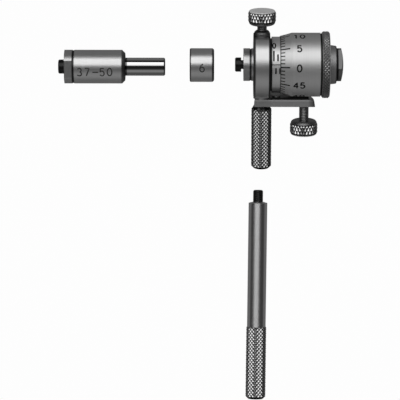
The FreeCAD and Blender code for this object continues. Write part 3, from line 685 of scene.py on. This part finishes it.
sleeveScale = {
    "reading": 1.507,        # shown by the thimble's edge
    "travel": 7,             # mm of scale
    "radius": 6.85,
    "datumStart": -3.1,      # of the line, from the nought
    "datumBeyond": 0.4,      # past the scale's last line
    "datumWidth": 0.2,
    "lineWidth": 0.4,
    "shift": -0.08,          # mm, of the lines as they are engraved
    "upper": (7.2, 21.6),    # degrees above the datum, whole millimetres
    "upperLong": 29.5,       # every fifth
    "lower": (-6.8, -19.0),  # half millimetres
    "numberEvery": 5,
    "numberTurn": 42.6,
    "number": {"height": 1.72, "width": 0.78, "gap": 0.2, "stroke": 0.32},
}
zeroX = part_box("thimble")[0].x - sleeveScale["reading"] * mm
sleeveOrigin = Vector((zeroX, headCentre.y, headCentre.z))


def buildSleeveScale(scale):
    radius, travel = scale["radius"], scale["travel"]
    place = onTurned(sleeveOrigin, lambda along: radius)
    perDegree = math.radians(1) * radius

    def line(along, start, end):
        x = along + scale["shift"]
        return straight([(x, start * perDegree), (x, end * perDegree)], 8), scale["lineWidth"]

    datum = straight([(scale["datumStart"], 0.0), (travel + scale["datumBeyond"], 0.0)])
    strokes = [(datum, scale["datumWidth"])]
    for millimetre in range(travel + 1):
        low, high = scale["upper"]
        if millimetre % scale["numberEvery"] == 0:
            high = scale["upperLong"]
        strokes.append(line(millimetre, low, high))
        if millimetre < travel:
            strokes.append(line(millimetre + 0.5, *scale["lower"]))
    markPiece("sleeve_scale", strokes, place, radius, "frame")
    numbers = []
    for millimetre in range(0, travel + 1, scale["numberEvery"]):
        numbers += writeRow(str(millimetre), millimetre, scale["numberTurn"] * perDegree,
                            scale["number"])
    markPiece("sleeve_numbers", numbers, place, radius, "frame")


buildSleeveScale(sleeveScale)

thimbleScale = {
    "divisions": 50,
    "edgeRadius": 7.0,
    "barrelRadius": 7.83,
    "bevelLength": 2.95,
    "zeroTurn": -5.04,       # degrees from straight up, at the reading shown
    "lineStart": 0.02,       # mm from the edge
    "short": {"end": 1.15, "width": 0.27},
    "long": {"end": 2.35, "width": 0.34},
    "longEvery": 5,
    "numberAlong": 4.62,     # middle of the numbers
    "number": {"height": 1.8, "width": 1.2, "gap": 0.4, "stroke": 0.35},
    "nudge": {10: -5.5, 5: -0.6, 0: -1.2, 45: 1.2},  # degrees, as they are engraved
}
thimbleEdge = Vector((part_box("thimble")[0].x, headCentre.y, headCentre.z))


def buildThimbleScale(scale):
    edge, barrel, bevel = scale["edgeRadius"], scale["barrelRadius"], scale["bevelLength"]
    place = onTurned(thimbleEdge,
                     lambda along: edge + (barrel - edge) * min(max(along / bevel, 0), 1))
    perDegree = math.radians(1) * barrel
    lines, numbers = [], []
    for division in range(scale["divisions"]):
        turn = scale["zeroTurn"] + division * 360 / scale["divisions"]
        isLong = division % scale["longEvery"] == 0
        line = scale["long"] if isLong else scale["short"]
        y = turn * perDegree
        lines.append((straight([(scale["lineStart"], y), (line["end"], y)], 2), line["width"]))
        if isLong:
            middle = (turn + scale["nudge"].get(division, 0)) * perDegree
            numbers += writeRow(str(division), scale["numberAlong"], middle, scale["number"])
    markPiece("thimble_scale", lines, place, barrel, "thimble")
    markPiece("thimble_numbers", numbers, place, barrel, "thimble")


buildThimbleScale(thimbleScale)


# A number that stands by itself on a turned piece, along it in mm and round it in degrees
def buildNumber(name, centre, mark):
    place = onTurned(centre, lambda along: mark["radius"])
    middle = math.radians(mark["turn"]) * mark["radius"]
    strokes = writeRow(mark["text"], mark["along"], middle, mark)
    markPiece(name, strokes, place, mark["radius"], "frame", markGrey)


rodNumbers = {
    "text": "37-50", "radius": 4.15, "along": -7.4, "turn": -18.5,
    "height": 2.1, "width": 1.25, "gap": 0.6, "stroke": 0.3,
}
collarNumber = {
    "text": "6", "radius": 4.15, "along": 0.05, "turn": -9.0,
    "height": 2.15, "width": 1.3, "gap": 0.0, "stroke": 0.3,
}
buildNumber("long_rod_numbers", rodShoulder, rodNumbers)
buildNumber("collar_number", middleOf("spacing_collar"), collarNumber)
print("marks made")


# Floor: white to the camera, and darker in what the metal mirrors
floorLook = {
    "size": 4.0,             # metres
    "drop": 0.02,            # mm below the set
    "white": 0.985,
    "mirrored": 0.14,
    "shadow": 0.045,         # under the head
    "shadowAcross": (13.8, 17.0, 24.2, 26.5),  # mm, where it starts, is full, fades and ends
    "shadowUp": (24.3, 25.7, 27.5, 34.0),      # the same, towards the top of the picture
}


def buildFloor(look):
    half = look["size"] / 2
    mesh = bpy.data.meshes.new("floor")
    mesh.from_pydata([(-half, -half, 0), (half, -half, 0), (half, half, 0), (-half, half, 0)], [],
                     [(0, 1, 2, 3)])
    floor = bpy.data.objects.new("floor", mesh)
    bpy.context.scene.collection.objects.link(floor)
    floor.location.z = -look["drop"] * mm
    material = bpy.data.materials.new("floor_white")
    tree = clearTree(material)
    position = addNode(tree, "ShaderNodeTexCoord").outputs["Object"]
    parts = addNode(tree, "ShaderNodeSeparateXYZ", {0: position}).outputs
    shadow = 1.0
    for place, span in zip(parts, (look["shadowAcross"], look["shadowUp"])):
        start, full, fade, end = span
        for light, dark in ((start, full), (end, fade)):
            side = rangeNode(tree, place, light * mm, dark * mm, blend="SMOOTHSTEP")
            shadow = mathNode(tree, "MULTIPLY", shadow, side)
    shade = rangeNode(tree, shadow, toMin=look["white"], toMax=look["shadow"])
    seen = addNode(tree, "ShaderNodeEmission", {"Color": shade})
    mirrored = addNode(tree, "ShaderNodeEmission", {"Color": grey(look["mirrored"])})
    path = addNode(tree, "ShaderNodeLightPath")
    mix = addNode(tree, "ShaderNodeMixShader", {0: path.outputs["Is Camera Ray"],
                                                1: mirrored.outputs[0], 2: seen.outputs[0]})
    addNode(tree, "ShaderNodeOutputMaterial", {0: mix.outputs[0]})
    mesh.materials.append(material)


buildFloor(floorLook)

# Light: one soft panel above and beyond the set, on a dim room
studio = {
    "levels": [  # degrees from overhead towards the top of the picture, and brightness
        (-180, 0.1), (-107, 0.19), (-72, 0.37), (-56, 0.43), (-42, 0.36), (-25, 0.14), (-12, 0.13),
        (0, 0.14), (8, 0.42), (16, 2.25), (26, 1.4), (40, 1.1), (52, 2.05), (60, 0.62), (68, 0.11),
        (82, 0.08), (98, 0.14), (146, 0.15), (180, 0.1)],
    "sideCentre": -0.12,     # the panel's middle, a little to the left
    "sideFrom": 0.12,        # share of the sideways direction where the panel starts to end
    "sideTo": 0.5,
    "sideWiden": 0.6,        # wider towards the top of the picture
    "sideLevel": 0.045,
    "backdrop": 0.985,       # what the camera sees beyond the floor
}


def buildLight(look):
    world = bpy.data.worlds.new("studio")
    bpy.context.scene.world = world
    tree = clearTree(world)
    direction = addNode(tree, "ShaderNodeTexCoord").outputs["Generated"]
    parts = addNode(tree, "ShaderNodeSeparateXYZ", {0: direction}).outputs
    turn = mathNode(tree, "ARCTAN2", parts[1], parts[2])
    ramp = addNode(tree, "ShaderNodeValToRGB", {"Fac": rangeNode(tree, turn, -math.pi, math.pi)})
    brightest = max(level for _, level in look["levels"])
    fillRamp(ramp, [((degrees + 180) / 360, level / brightest)
                    for degrees, level in look["levels"]])
    upward = mathNode(tree, "MULTIPLY", mathNode(tree, "MAXIMUM", parts[1], 0.0),
                      look["sideWiden"])
    aside = mathNode(tree, "SUBTRACT", parts[0], look["sideCentre"])
    sideways = mathNode(tree, "SUBTRACT", mathNode(tree, "ABSOLUTE", aside), upward)
    fade = rangeNode(tree, sideways, look["sideFrom"], look["sideTo"], blend="SMOOTHSTEP")
    mix = addNode(tree, "ShaderNodeMix", {"Factor": fade, "A": ramp.outputs[0],
                                          "B": grey(look["sideLevel"] / brightest)},
                  data_type="RGBA")
    room = addNode(tree, "ShaderNodeBackground", {"Color": mix.outputs["Result"],
                                                  "Strength": brightest})
    backdrop = addNode(tree, "ShaderNodeBackground", {"Color": grey(look["backdrop"])})
    path = addNode(tree, "ShaderNodeLightPath")
    choose = addNode(tree, "ShaderNodeMixShader", {0: path.outputs["Is Camera Ray"],
                                                   1: room.outputs[0], 2: backdrop.outputs[0]})
    addNode(tree, "ShaderNodeOutputWorld", {0: choose.outputs[0]})


buildLight(studio)
bpy.context.scene.view_settings.view_transform = "Standard"
print("light and floor made")

# Camera, in millimetres
view = {
    "eye": (5.0, 40.0, 600.0),
    "aim": (-0.069, 0.894, 0.0),
    "tilt": -0.086,          # degrees, of the picture's upward side
    "focalPixels": 2410.9,
    "imagePixels": 400,
    "sensor": 36.0,
    "clip": (50.0, 10000.0),
}


def buildCamera(look):
    data = bpy.data.cameras.new("camera")
    data.sensor_width = look["sensor"]
    data.lens = look["focalPixels"] / look["imagePixels"] * look["sensor"]
    data.clip_start, data.clip_end = (distance * mm for distance in look["clip"])
    camera = bpy.data.objects.new("camera", data)
    bpy.context.scene.collection.objects.link(camera)
    eye, aim = Vector(look["eye"]) * mm, Vector(look["aim"]) * mm
    tilt = math.radians(look["tilt"])
    forward = (aim - eye).normalized()
    right = forward.cross(Vector((math.sin(tilt), math.cos(tilt), 0))).normalized()
    up = right.cross(forward)
    turn = Matrix((right, up, -forward)).transposed()
    camera.matrix_world = Matrix.Translation(eye) @ turn.to_4x4()
    bpy.context.scene.camera = camera


buildCamera(view)
print("camera set")
